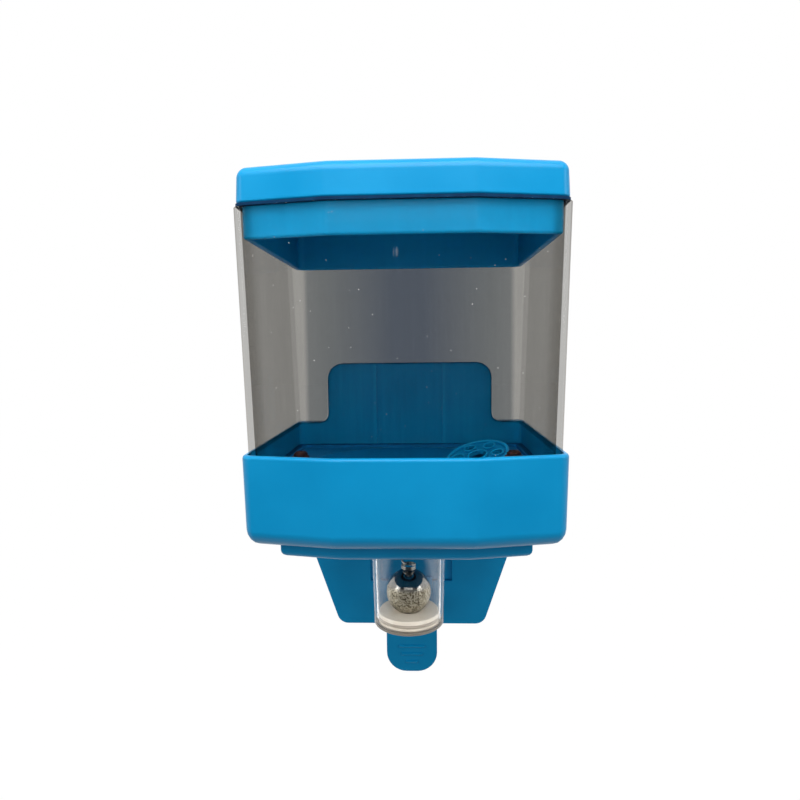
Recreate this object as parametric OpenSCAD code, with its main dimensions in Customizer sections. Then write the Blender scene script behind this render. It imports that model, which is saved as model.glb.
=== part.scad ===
// Wall-mounted gravity oil pot. A smoke-clear tub stands in a blue base that hangs on the wall.
// Oil runs down the sloping floor into a clear sight tube, where a steel ball rests on a white seat.
// Pushing the ridged tab up lifts the ball with a pin, and a spring sets it down again.
// Millimetres. The wall plane is y = 0, the pot stands on the -Y side of it and +Z is up.
// The origin lies on the wall plane, midway between the two hanging holes.

/* [Body plan] */
// Width of the base over its rim
body_w = 121.6; // [112:0.4:132]
// Depth from the wall to the flat front face
body_d = 112; // [104:1:124]
// Width of the flat front face
facet_w = 53; // [44:1:62]
// How far the two side corners stand behind the front face
facet_set = 7; // [4:0.5:11]
// Radius of the two side corners
corner_r = 5; // [4:0.5:8]
// Radius that softens the edges beside the flat front face
facet_r = 10; // [5:1:24]

/* [Base] */
// Height of the rim above the hanging holes
rim_z = 24; // [22:0.5:25.5]
// Height of the base from its underside to its rim
base_h = 34.9; // [33.5:0.1:38]
// Thickness of the skirt
base_wall = 1.8; // [1.5:0.1:2.4]
// Radius of the rim's outer edge
rim_r = 1.3; // [0.8:0.1:1.5]
// How much the skirt draws in on each side from the rim to the underside
base_taper = 0.75; // [0.4:0.05:1.2]
// Radius of the lower edge of the skirt
base_edge_r = 6.5; // [4.5:0.5:8]
// Thickness of the underside
bottom_t = 2.2; // [1.8:0.1:2.6]
// Depth of the ledge below the rim
ledge_drop = 13; // [12:0.25:13.5]
// Width of the ledge
ledge_w = 4; // [3.4:0.1:5]
// Thickness of the floor
floor_t = 2.2; // [1.8:0.1:2.8]
// Fall of the floor from the ledge to the outlet
floor_fall = 13.5; // [11:0.5:14.5]
// Radius of the level patch round the outlet
outlet_r = 10; // [9:0.5:12]

/* [Back plate] */
// Thickness of the back plate
back_t = 6; // [5.4:0.1:7]
// Width of the upper tab
tab_w = 86; // [74:1:94]
// Height of the upper tab above the rim
tab_h = 31; // [22:1:40]
// Radius of the two corners of the upper tab
tab_r = 8; // [4:0.5:12]
// Spacing of the two ribs on the upper tab
rib_pitch = 36; // [26:1:50]
// Width of a rib
rib_w = 1.6; // [1.2:0.1:2.4]
// Height of a rib above the plate
rib_h = 0.8; // [0.5:0.1:1]
// Width of the apron along its lower edge
apron_w = 77.6; // [68:0.5:88]
// Distance from the rim down to the lower edge of the apron
apron_drop = 110.6; // [106:0.2:118]
// Angle of the apron's sides from the vertical
apron_slant = 18.8; // [12:0.5:24]
// Radius of the lower corners of the apron
apron_r = 6; // [3:0.5:9]

/* [Hanging holes] */
// Spacing of the two hanging holes
hang_pitch = 60; // [50:1:70]
// Radius of the round entry
hang_r = 4.5; // [4.1:0.1:4.7]
// Radius of the slot that takes the screw's shank
hang_slot_r = 2.2; // [1.9:0.1:2.6]
// Rise from the entry to the end of the slot
hang_rise = 6; // [5.5:0.1:6.4]

/* [Reservoir] */
// Height of the tub
tub_h = 102; // [88:1:116]
// Thickness of the tub's wall
tub_wall = 2.4; // [2:0.1:3]
// Draft of the tub in degrees
tub_draft = 1.5; // [0.8:0.1:1.6]
// Radius of the two rear corners of the tub
tub_rear_r = 6; // [4:0.5:8]
// Thickness of the gasket under the tub
gasket_t = 1.5; // [1:0.1:2]

/* [Lid] */
// Height of the brim
lid_h = 13.1; // [11:0.1:15]
// Radius of the brim's upper edge
lid_edge_r = 4.2; // [2.5:0.1:5]
// Inset of the brim from the greatest width of the base
lid_inset = 0.9; // [0.4:0.1:1.2]
// Depth of the plug below the brim
plug_h = 12.6; // [9:0.2:18]
// Thickness of the plug's wall
plug_wall = 2.2; // [1.8:0.1:2.8]
// Thickness of the lid's top
lid_top_t = 2.6; // [2:0.1:3.2]
// Thickness of the ring under the brim
lid_seal_t = 1; // [0.8:0.1:1.5]

/* [Bottom cover] */
// Inset of the cover from the skirt's lower edge
cover_inset = 11.1; // [10:0.1:12.5]
// Height of the cover below the base
cover_h = 6.8; // [6.2:0.1:8]
// Thickness of the cover's side wall
cover_wall = 2; // [1.6:0.1:2.6]
// Thickness of the cover's floor
cover_floor = 2.4; // [2:0.1:2.8]
// Radius of the cover's lower edge
cover_edge_r = 2.6; // [2:0.1:4]
// Radius of the two columns that take the screws
column_r = 3; // [2.7:0.1:3.4]
// Radius of a screw's shank
screw_r = 1.5; // [1.2:0.05:1.7]
// Length of a screw below its head
screw_len = 22; // [18:1:24]
// Radius of a screw's head
screw_head_r = 3; // [2.6:0.1:3.4]
// Height of a screw's head
screw_head_h = 2; // [1.6:0.1:2.4]
// Thickness of a sealing washer
washer_t = 0.8; // [0.5:0.1:1.2]
// How far in front of the outlet the screws stand
screw_fore = 10; // [4:1:14]
// Height of the screws' pads above the ledge
pad_h = 5.3; // [3:0.1:6]

/* [Sight tube] */
// Outer radius of the tube where it leaves the cover
tube_r = 16.8; // [16.4:0.1:17.6]
// Length of the tube below the cover
tube_len = 43.1; // [41:0.1:49]
// Draft of the tube in degrees
tube_draft = 1.5; // [0.8:0.1:1.8]
// Thickness of the tube's wall
tube_wall = 2; // [1.6:0.1:2.2]
// Width of the flange at the top of the tube
flange_w = 3.6; // [3:0.1:4.4]
// Thickness of the flange
flange_t = 2.6; // [2:0.1:3]
// Thickness of the gasket over the flange
tube_gasket_t = 1.5; // [1:0.1:2]
// Thickness of the lip at the foot of the tube
tube_lip_t = 1.2; // [1:0.1:2]
// Reach of that lip toward the middle
tube_lip_w = 1.6; // [1:0.1:2.2]

/* [Valve] */
// Radius of the ball
ball_r = 10; // [9:0.25:10.5]
// Thickness of the seat
seat_t = 4.6; // [4:0.1:5.2]
// Half angle of the conical cup in the seat
cup_angle = 62; // [58:1:66]
// Radius of the hole through the seat
seat_hole_r = 2.6; // [2.2:0.1:3]
// Radius of the ring in the seat's groove
seat_ring_r = 0.7; // [0.5:0.05:0.8]
// Radius of the spring's wire
wire_r = 0.4; // [0.3:0.05:0.5]
// Radius of the spring to the middle of its wire
coil_r = 2.9; // [2.6:0.1:3.3]
// Turns in the spring
coil_turns = 11; // [8:1:13]
// Outer radius of the neck that carries oil from the outlet into the tube
neck_r = 9.6; // [9:0.1:10.5]
// Thickness of the neck's wall
neck_wall = 2.2; // [1.8:0.1:2.6]
// Radius of each of the ports through the outlet
port_r = 1.6; // [1.2:0.1:1.8]

/* [Push tab] */
// How far the tab is pushed up
push_lift = 3.5; // [2.5:0.25:4]
// Width of the tab
push_w = 27.4; // [24:0.2:32]
// Length of the tab below the apron
push_end = 27.2; // [22:0.2:36]
// Radius of the tab's lower corners
push_r = 10.8; // [7:0.2:11.6]
// Width of the pocket in the apron
pocket_w = 44; // [40:0.5:48]
// Height of the head that slides in the pocket
head_h = 22; // [16:1:24]
// How far the head reaches behind the pocket's edges on each side
head_reach = 1.4; // [1:0.1:1.8]
// Thickness of the head
head_t = 2.4; // [2:0.1:2.6]
// Thickness of the apron behind the head
pocket_back_t = 1.4; // [1.1:0.1:1.6]
// Height of the middle grip ridge above the tab's lower end
ridge_rise = 9.8; // [8.5:0.1:12]
// Spacing of the grip ridges
ridge_pitch = 4.4; // [3.6:0.1:5]
// Radius of a grip ridge
ridge_r = 0.75; // [0.5:0.05:0.9]
// Length of the longest grip ridge
ridge_len = 14.2; // [11:0.2:17]
// Width of the arm that reaches under the tube
arm_w = 9; // [7:0.5:11]
// Radius of the lift pin
pin_r = 1.3; // [1.1:0.05:1.5]

/* [Strainer] */
// Radius of the strainer disc
strainer_r = 15; // [13:0.5:16]
// Height of its outer rim
strainer_rim = 2.4; // [2:0.1:3]
// Thickness of its web
strainer_web = 1.2; // [0.8:0.1:1.6]
// Radius of its holes
strainer_hole_r = 2.8; // [2.2:0.1:2.9]
// Distance of its middle from the right side of the base
strainer_side = 27.7; // [26:0.1:30]
// How far behind the outlet its middle lies
strainer_back = 18.3; // [16:0.1:22]
// Tilt of the disc
strainer_tilt = 19.6; // [16:0.2:22]
// Direction in which the disc rises, from the right side toward the wall
strainer_turn = 47; // [36:1:52]

/* [Fits] */
// Gap between the tub and the base's rim
tub_gap = 0.5; // [0.3:0.05:0.7]
// Gap between the tub and the ribs of the back plate
tub_stand = 1.2; // [1.1:0.1:1.6]
// Gap between the plug and the tub
plug_gap = 0.45; // [0.3:0.05:0.7]
// Gap round the sliding head and stem
slide_gap = 0.25; // [0.15:0.05:0.35]
// Gap between the ball and its cup
rest_gap = 0.12; // [0.08:0.01:0.2]
// Gap round a screw or a pin in its hole
screw_gap = 0.05; // [0.03:0.01:0.1]
// Gap between parts that drop into each other
drop_gap = 0.3; // [0.2:0.05:0.4]

/* [Hidden] */
$fn = 64;
blue = [0.00, 0.50, 0.75];
dark = [0.12, 0.12, 0.13];
clear = [0.70, 0.72, 0.72, 0.45];
white = [0.92, 0.91, 0.88];
steel = [0.72, 0.73, 0.75];
fibre = [0.45, 0.20, 0.15];

// Heights
half_w = body_w / 2;
z_under = rim_z - base_h;
z_ledge = rim_z - ledge_drop;
z_floor = z_ledge - floor_fall;
z_tub = z_ledge + gasket_t;
z_mouth = z_tub + tub_h;
z_brim = z_mouth + lid_seal_t;
z_lid = z_brim + lid_h;
z_plug = z_brim - plug_h;
z_cover = z_under - cover_h;
z_flange = z_cover + cover_floor;
z_clamp = z_flange + flange_t + tube_gasket_t;
z_foot = z_cover - tube_len;
z_seat = z_foot + tube_lip_t;
z_seat_top = z_seat + seat_t;
z_apron = rim_z - apron_drop;
z_push = z_apron - push_end;

// The outlet lies in the middle of the floor
axis_y = (-back_t - body_d + base_wall) / 2;
ledge_in = base_wall + ledge_w;
ledge_rear = -back_t - ledge_w;

// The ball stands on a cone, so its height follows from the cone's angle
cup_r = ball_r * cos(cup_angle) + 0.8;
ball_z = z_seat_top - cup_r / tan(cup_angle) + (ball_r + rest_gap) / sin(cup_angle);

// The tub leans out by its draft from the rim upward
function tub_in(z) = base_wall + tub_gap - (z - rim_z) * tan(tub_draft);
function tub_rear(z) = -back_t - rib_h - tub_stand + (z - rim_z) * tan(tub_draft);
lid_rear = tub_rear(z_mouth) - 0.7;

// The tube's radius and the seat that drops into it
function tube_at(z) = tube_r - (z_cover - z) * tan(tube_draft);
flange_r = tube_r + flange_w;
seat_r = tube_at(z_seat) - tube_wall - drop_gap / 2;

// Screws stand in columns on the cover's side walls, on pads raised above the ledge
column_x = half_w - base_taper - cover_inset - column_r - 0.4;
pad_r = screw_head_r + 1.2;
z_pad = z_ledge + pad_h;
z_joint = z_ledge - floor_t - 2;

// The arm passes just under the tube when the tab is pushed up
z_arm = z_foot - push_lift - 0.7;
z_head = z_arm + 2.5;
z_pocket = z_head - drop_gap;
pocket_h = head_h + push_lift + drop_gap + 1;
head_w = pocket_w + 2 * head_reach;
head_y = -pocket_back_t - slide_gap;
stem_t = back_t + head_y;

// The spring stands between the outlet plate and the top of the ball
spring_top = z_floor - floor_t - 0.1;
spring_foot = ball_z + ball_r + 0.15;

// Angle by which each slanted front face turns from the flat one
facet_turn = atan(facet_set / (half_w - facet_w / 2));

function unit(v) = v / norm(v);

// Points of a round corner at b, reached from a and left toward c
function round_corner(a, b, c, r, n) =
    let (
        to = unit(b - a),
        on = unit(c - b),
        turn = atan2(to.x * on.y - to.y * on.x, to * on),
        s = sign(turn),
        mid = b - to * r * tan(abs(turn) / 2) + s * r * [-to.y, to.x],
        start = atan2(-s * to.x, s * to.y)
    )
    [for (i = [0 : n]) mid + r * [cos(start + turn * i / n), sin(start + turn * i / n)]];

// Outline through corners given as [x, y, radius, steps]
function rounded(k) =
    let (m = len(k))
    [for (i = [0 : m - 1])
        let (a = k[(i + m - 1) % m], b = k[i], c = k[(i + 1) % m])
        each round_corner([a[0], a[1]], [b[0], b[1]], [c[0], c[1]], b[2], b[3])];

// Plan of the body drawn in on the front and the sides, with its rear edge at a given y
function plan(inset, rear, rear_r) =
    let (
        hw = half_w - inset,
        fy = inset - body_d,
        fx = facet_w / 2 - inset * tan(facet_turn / 2),
        sy = facet_set - body_d + inset * tan(45 - facet_turn / 2),
        side_r = max(corner_r - inset, 0.8)
    )
    rounded([
        [-fx, fy, facet_r, 4],
        [fx, fy, facet_r, 4],
        [hw, sy, side_r, 9],
        [hw, rear, rear_r, 6],
        [-hw, rear, rear_r, 6],
        [-hw, sy, side_r, 9]
    ]);

function at_z(points, z) = [for (p = points) [p.x, p.y, z]];

// Solid skinned through rings with the same number of points, from the lowest to the highest
module skin(rings) {
    n = len(rings[0]);
    m = len(rings);
    polyhedron(
        points = [for (ring = rings) each ring],
        faces = concat(
            [[for (j = [0 : n - 1]) j]],
            [for (i = [0 : m - 2], j = [0 : n - 1]) [i * n + j, i * n + n + j, i * n + (j + 1) % n]],
            [for (i = [0 : m - 2], j = [0 : n - 1])
                [i * n + n + j, i * n + n + (j + 1) % n, i * n + (j + 1) % n]],
            [[for (j = [n - 1 : -1 : 0]) m * n - n + j]]));
}

// Upright prism on the body's plan
module slab(inset, rear, rear_r, z0, z1) {
    translate([0, 0, z0])
        linear_extrude(z1 - z0) polygon(plan(inset, rear, rear_r));
}

module at_axis(z) {
    translate([0, axis_y, z]) children();
}

module at_column(z) {
    translate([column_x, axis_y - screw_fore, z]) children();
}

module both_sides() {
    children();
    mirror([1, 0, 0]) children();
}

// Floor of the base: a wide cone that falls from the ledge to a level patch round the outlet
floor_r = min(half_w - ledge_in, ledge_rear - axis_y) - 0.5;
floor_slope = floor_fall / (floor_r - outlet_r);
module floor_cone(dz, up) {
    at_axis(z_floor + dz)
        cylinder(r1 = outlet_r, r2 = floor_r, h = floor_fall);
    at_axis(z_ledge + dz - 0.01)
        cylinder(r = floor_r, h = up);
}
function floor_z(p) =
    z_floor + floor_slope * min(max(norm(p - [0, axis_y]) - outlet_r, 0), floor_r - outlet_r);

// Blue cap: a rounded brim with a hollow plug below it
module lid() {
    color(blue)
    difference() {
        union() {
            skin([
                at_z(plan(lid_inset + 0.4, lid_rear - 0.4, 5), z_brim),
                at_z(plan(lid_inset, lid_rear, 5), z_brim + 0.5),
                for (i = [0 : 6])
                    let (a = 15 * i, draw = 0.4 + lid_edge_r * (1 - cos(a)))
                    at_z(plan(lid_inset + draw, lid_rear - draw, 5), z_lid - lid_edge_r * (1 - sin(a)))
            ]);
            skin([
                at_z(plan(plug_in + 0.5, plug_rear - 0.5, 4), z_plug),
                at_z(plan(plug_in, plug_rear, 4), z_plug + 0.8),
                at_z(plan(plug_in, plug_rear, 4), z_brim + 1)
            ]);
        }
        slab(plug_in + plug_wall, plug_rear - plug_wall, 3, z_plug - 1, z_lid - lid_top_t);
    }
}
plug_in = tub_in(z_plug) + tub_wall + plug_gap;
plug_rear = tub_rear(z_plug) - tub_wall - plug_gap;

// Flat rubber ring under the brim
module lid_seal() {
    color(dark)
    difference() {
        slab(tub_in(z_mouth) + 0.7, tub_rear(z_mouth) - 0.7, 5, z_mouth, z_brim);
        slab(plug_in - 0.2, plug_rear + 0.2, 4, z_mouth - 1, z_brim + 1);
    }
}

// Smoke-clear tub, open at both ends, leaning out by its draft
module reservoir() {
    color(clear)
    difference() {
        skin([
            tub_ring(0, z_tub),
            tub_ring(0, z_mouth - 0.6),
            at_z(plan(tub_in(z_mouth) + 0.4, tub_rear(z_mouth) - 0.4, tub_rear_r), z_mouth)
        ]);
        skin([
            tub_ring(tub_wall, z_tub - 1),
            tub_ring(tub_wall, z_mouth + 1)
        ]);
    }
}
function tub_ring(deep, z) = at_z(plan(tub_in(z) + deep, tub_rear(z) - deep, tub_rear_r - deep), z);

// Flat rubber gasket on the ledge, under the tub
module reservoir_gasket() {
    color(dark)
    difference() {
        slab(base_wall + drop_gap, -back_t - rib_h - drop_gap, 3, z_ledge, z_tub);
        slab(ledge_in, ledge_rear, 4, z_ledge - 1, z_tub + 1);
    }
}

// Skirt as a solid, with its lower edge rounded and the rear flat on the wall
function skirt_in(z) = base_taper * (rim_z - z) / base_h;
module skirt() {
    r = base_edge_r;
    skin([
        for (i = [0 : 5])
            let (a = 18 * i, z = z_under + r * (1 - cos(a)))
            at_z(plan(skirt_in(z) + r * (1 - sin(a)), 0, 2), z),
        for (i = [0 : 4])
            let (a = 22.5 * i)
            at_z(plan(rim_r * (1 - cos(a)), 0, 2), rim_z - rim_r * (1 - sin(a)))
    ]);
}

// Room between the floor and the underside
module under_room() {
    r = base_edge_r - base_wall;
    difference() {
        skin([
            for (i = [0 : 4])
                let (a = 22.5 * i, z = z_under + bottom_t + r * (1 - cos(a)))
                at_z(plan(base_wall + skirt_in(z) + r * (1 - sin(a)), -back_t, 2), z),
            at_z(plan(base_wall + skirt_in(z_ledge), -back_t, 2), z_ledge - floor_t)
        ]);
        floor_cone(-floor_t, floor_t + 1);
    }
}

// Back plate in one outline: upper tab, tray and apron
plate_w = half_w - base_taper - 0.4;
function apron_x(z) = apron_w / 2 + (z - z_apron) * tan(apron_slant);
shoulder_x = plate_w - 2;
shoulder_z = min(z_apron + (shoulder_x - apron_w / 2) / tan(apron_slant), z_under - 4);
module back_plate() {
    right = [
        [apron_w / 2, z_apron, apron_r, 6],
        [apron_x(shoulder_z), shoulder_z, 8, 4],
        [apron_x(shoulder_z), z_under + 1, 0.5, 1],
        [plate_w, z_under + base_edge_r, 0.5, 1],
        [plate_w, rim_z - 0.3, 0.5, 1],
        [tab_w / 2, rim_z - 0.3, 5, 5],
        [tab_w / 2, rim_z + tab_h, tab_r, 7]
    ];
    left = [for (i = [6 : -1 : 0]) [-right[i][0], right[i][1], right[i][2], right[i][3]]];
    rotate([90, 0, 0])
        linear_extrude(back_t) polygon(rounded(concat(right, left)));
    both_sides() rib();
}

// Upright rib on the front of the back plate, which keeps the tub off it
module rib() {
    translate([rib_pitch / 2 - rib_w / 2, -back_t - rib_h, z_ledge - 1])
        cube([rib_w, rib_h + 1, tab_h + ledge_drop - 1]);
}

// Hanging hole: round entry with a slot rising from it
module hang_hole() {
    translate([hang_pitch / 2, 1, 0])
        rotate([90, 0, 0]) {
            cylinder(r = hang_r, h = back_t + 2);
            translate([-hang_slot_r, 0, 0])
                cube([2 * hang_slot_r, hang_rise, back_t + 2]);
            translate([0, hang_rise, 0])
                cylinder(r = hang_slot_r, h = back_t + 2);
        }
}

// Pocket for the sliding head, with a way out for the stem at the apron's lower edge
slot_y = head_y - head_t - slide_gap;
module pocket() {
    translate([-head_w / 2 - slide_gap, slot_y, z_pocket])
        cube([head_w + 2 * slide_gap, -pocket_back_t - slot_y, pocket_h]);
    translate([-pocket_w / 2, -back_t - 1, z_pocket])
        cube([pocket_w, back_t - pocket_back_t + 1, pocket_h]);
    translate([-push_w / 2 - slide_gap, -back_t - 1, z_apron - 1])
        cube([push_w + 2 * slide_gap, back_t - pocket_back_t + 1, z_pocket - z_apron + 2]);
}

// Neck under the outlet, with the ring that clamps the tube and the stub that steadies the spring
module neck() {
    z_neck = z_cover - 0.8;
    difference() {
        union() {
            at_axis(z_neck) cylinder(r = neck_r, h = z_floor - floor_t / 2 - z_neck);
            at_axis(z_clamp) cylinder(r = flange_r, h = 2.6);
        }
        at_axis(z_neck - 1) cylinder(r = neck_r - neck_wall, h = z_floor - floor_t - z_neck + 1);
    }
    at_axis(z_floor - floor_t - 3) cylinder(r = coil_r - wire_r - 0.5, h = 3 + floor_t / 2);
}

// Blue base: skirt, ledge, sloping floor, neck and back plate in one moulding
module base() {
    color(blue)
    difference() {
        union() {
            difference() {
                union() {
                    skirt();
                    back_plate();
                }
                difference() {
                    slab(base_wall, -back_t, 2, z_ledge, rim_z + tab_h + 1);
                    both_sides() rib();
                }
                floor_cone(0, 1);
                under_room();
                slab(base_taper + cover_inset + cover_wall, -back_t - cover_wall - drop_gap, 2,
                    z_under - 1, z_under + bottom_t + 1);
                both_sides() hang_hole();
                pocket();
                both_sides()
                    at_column(z_under - 1) cylinder(r = column_r + drop_gap, h = bottom_t + 2);
            }
            neck();
            both_sides()
                at_column(z_joint) cylinder(r = pad_r, h = z_pad - z_joint);
        }
        both_sides()
            at_column(z_joint - 1) cylinder(r = screw_r + drop_gap, h = z_pad - z_joint + 2);
        for (i = [0 : 5])
            at_axis(z_floor - floor_t - 1)
                rotate([0, 0, 60 * i])
                    translate([port_at, 0, 0]) cylinder(r = port_r, h = floor_t + 2);
    }
}
port_at = (coil_r + wire_r + neck_r - neck_wall) / 2;

// Shallow blue cover under the base, with two columns for the screws
module bottom_cover() {
    r = cover_edge_r;
    inset = base_taper + cover_inset;
    rear = -back_t - drop_gap;
    color(blue)
    difference() {
        union() {
            difference() {
                skin([
                    for (i = [0 : 4])
                        let (a = 22.5 * i, draw = r * (1 - sin(a)))
                        at_z(plan(inset + draw, rear - draw, 2), z_cover + r * (1 - cos(a))),
                    at_z(plan(inset, rear, 2), z_under)
                ]);
                slab(inset + cover_wall, rear - cover_wall, 2, z_flange, z_under + 1);
            }
            both_sides()
                at_column(z_flange - 0.3) cylinder(r = column_r, h = z_joint - z_flange + 0.3);
        }
        at_axis(z_cover - 1) cylinder(r = tube_r + drop_gap, h = cover_floor + 2);
        both_sides()
            at_column(z_pad + washer_t - screw_len - 1)
                cylinder(r = screw_r + screw_gap, h = screw_len + 2);
    }
}

// Two pan-head screws through the floor into the cover's columns
module cover_screws() {
    slot_w = screw_head_r / 3;
    color(steel)
    both_sides()
        at_column(z_pad + washer_t)
            difference() {
                union() {
                    translate([0, 0, -screw_len]) cylinder(r = screw_r, h = screw_len + 0.5);
                    cylinder(r = screw_head_r, h = screw_head_h * 0.55);
                    translate([0, 0, screw_head_h * 0.55])
                        cylinder(r1 = screw_head_r, r2 = screw_head_r * 0.7, h = screw_head_h * 0.45);
                }
                translate([-screw_head_r - 1, -slot_w / 2, screw_head_h * 0.5])
                    cube([2 * screw_head_r + 2, slot_w, screw_head_h]);
            }
}

// Fibre washers under the screw heads
module screw_washers() {
    color(fibre)
    both_sides()
        at_column(z_pad)
            difference() {
                cylinder(r = screw_head_r + 0.7, h = washer_t);
                translate([0, 0, -1]) cylinder(r = screw_r + screw_gap, h = washer_t + 2);
            }
}

// Round strainer with ring-edged holes, lying loose on the sloping floor
strainer_dir = [cos(strainer_turn), sin(strainer_turn)];
strainer_xy = [half_w - strainer_side, axis_y + strainer_back];
function strainer_rim_at(a) =
    let (u = cos(a), v = sin(a))
    strainer_r * [
        strainer_dir.x * u * cos(strainer_tilt) - strainer_dir.y * v,
        strainer_dir.y * u * cos(strainer_tilt) + strainer_dir.x * v,
        u * sin(strainer_tilt)
    ];
strainer_z = max([for (a = [0 : 5 : 355])
    let (p = strainer_rim_at(a))
    floor_z(strainer_xy + [p.x, p.y]) - p.z]) + drop_gap;

module strainer() {
    ring = strainer_r * 0.63;
    hub_r = strainer_r * 0.3;
    color(blue)
    translate([strainer_xy.x, strainer_xy.y, strainer_z])
        rotate([0, 0, strainer_turn])
            rotate([0, -strainer_tilt, 0])
                difference() {
                    cylinder(r = strainer_r, h = strainer_rim);
                    translate([0, 0, strainer_web])
                        difference() {
                            cylinder(r = strainer_r - 1.4, h = strainer_rim);
                            translate([0, 0, -1]) cylinder(r = hub_r + 0.7, h = strainer_rim);
                            for (i = [0 : 5])
                                rotate([0, 0, 60 * i])
                                    translate([ring, 0, -1])
                                        cylinder(r = strainer_hole_r + 0.7, h = strainer_rim);
                        }
                    translate([0, 0, -1]) cylinder(r = hub_r, h = strainer_rim + 2);
                    for (i = [0 : 5])
                        rotate([0, 0, 60 * i])
                            translate([ring, 0, -1]) cylinder(r = strainer_hole_r, h = strainer_rim + 2);
                }
}

// Clear tube with a flange above the cover's floor and a lip that holds the seat
module sight_tube() {
    top = z_flange + flange_t;
    lip = tube_at(z_foot) - tube_wall - tube_lip_w;
    color(clear)
    at_axis(0)
        rotate_extrude()
            polygon([
                [lip, z_foot],
                [tube_at(z_foot), z_foot],
                [tube_r, z_cover],
                [tube_r, z_flange],
                [flange_r, z_flange],
                [flange_r, top],
                [tube_at(z_cover) - tube_wall, top],
                [tube_at(z_cover) - tube_wall, z_cover],
                [tube_at(z_seat) - tube_wall, z_seat],
                [lip, z_seat]
            ]);
}

// Flat ring between the tube's flange and the clamping ring of the neck
module tube_gasket() {
    color(dark)
    at_axis(z_flange + flange_t)
        difference() {
            cylinder(r = flange_r, h = tube_gasket_t);
            translate([0, 0, -1]) cylinder(r = neck_r + drop_gap, h = tube_gasket_t + 2);
        }
}

// White seat: a disc with a conical cup, a drain hole and a groove round its edge
groove_z = z_seat + seat_t * 0.45;
ring_at = tube_at(groove_z) - tube_wall - screw_gap - seat_ring_r;
groove_r = ring_at - seat_ring_r - screw_gap;
module valve_seat() {
    color(white)
    at_axis(0)
        difference() {
            translate([0, 0, z_seat]) cylinder(r = seat_r, h = seat_t);
            translate([0, 0, z_seat - 1]) cylinder(r = seat_hole_r, h = seat_t + 2);
            translate([0, 0, z_seat_top - cup_r / tan(cup_angle)])
                cylinder(r1 = 0, r2 = 2 * cup_r, h = 2 * cup_r / tan(cup_angle));
            translate([0, 0, groove_z - seat_ring_r])
                difference() {
                    cylinder(r = seat_r + 1, h = 2 * seat_ring_r);
                    translate([0, 0, -1]) cylinder(r = groove_r, h = 2 * seat_ring_r + 2);
                }
        }
}

// Round rubber ring in the seat's groove
module seat_ring() {
    color(dark)
    at_axis(groove_z)
        rotate_extrude()
            translate([ring_at, 0]) circle(r = seat_ring_r);
}

// Steel ball on the seat
module valve_ball() {
    color(steel)
    at_axis(ball_z) sphere(r = ball_r);
}

// Coil spring from the outlet plate to the top of the ball
module valve_spring() {
    steps = 16;
    sides = 8;
    n = coil_turns * steps;
    pitch = spring_top - spring_foot - 2 * wire_r;
    color(steel)
    at_axis(spring_foot + wire_r)
        skin([for (i = [0 : n])
            let (a = 360 * i / steps, z = pitch * i / n)
            [for (j = [0 : sides - 1])
                let (b = -360 * j / sides, r = coil_r + wire_r * cos(b))
                [r * cos(a), r * sin(a), z + wire_r * sin(b)]]]);
}

// Blue push tab: sliding head, stem with a rounded and ridged end, and the arm under the tube
module push_tab() {
    z_low = z_push + ridge_rise;
    end = rounded([
        [-push_w / 2, z_push, push_r, 8],
        [push_w / 2, z_push, push_r, 8],
        [push_w / 2, z_head + 2, 0.5, 1],
        [-push_w / 2, z_head + 2, 0.5, 1]
    ]);
    arm_tip = axis_y - 2.4;
    color(blue)
    difference() {
        union() {
            translate([-head_w / 2, head_y - head_t, z_head])
                cube([head_w, head_t, head_h]);
            translate([0, head_y, 0])
                rotate([90, 0, 0])
                    linear_extrude(stem_t) polygon(end);
            translate([-arm_w / 2, 0, 0])
                rotate([90, 0, 90])
                    linear_extrude(arm_w)
                        polygon([
                            [-back_t + 1, z_arm],
                            [arm_tip, z_arm],
                            [arm_tip, z_arm - 2.4],
                            [-back_t - 12, z_arm - 5],
                            [-back_t + 1, z_arm - 9]
                        ]);
            for (i = [0 : 2])
                translate([0, -back_t, z_low + (1 - i) * ridge_pitch])
                    rotate([0, 90, 0])
                        cylinder(r = ridge_r, h = ridge_len * (1 - 0.1 * i - 0.09 * i * i), center = true);
        }
        translate([0, head_y + 1, 0])
            rotate([90, 0, 0])
                linear_extrude(stem_t - 1.6)
                    polygon(rounded([
                        [2.2 - push_w / 2, z_push + 2.2, push_r - 2.2, 6],
                        [push_w / 2 - 2.2, z_push + 2.2, push_r - 2.2, 6],
                        [push_w / 2 - 2.2, z_apron - 1, 1, 2],
                        [2.2 - push_w / 2, z_apron - 1, 1, 2]
                    ]));
        at_axis(z_arm - 1.6) cylinder(r = pin_r + screw_gap / 2, h = 3);
    }
}

// Steel pin set in the end of the arm, standing just under the ball
module lift_pin() {
    color(steel)
    at_axis(z_arm - 1.6) cylinder(r = pin_r, h = ball_z - ball_r - 0.2 - z_arm + 1.6);
}

lid();
lid_seal();
reservoir();
reservoir_gasket();
base();
bottom_cover();
cover_screws();
screw_washers();
strainer();
sight_tube();
tube_gasket();
valve_seat();
seat_ring();
valve_ball();
valve_spring();
push_tab();
lift_pin();
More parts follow.
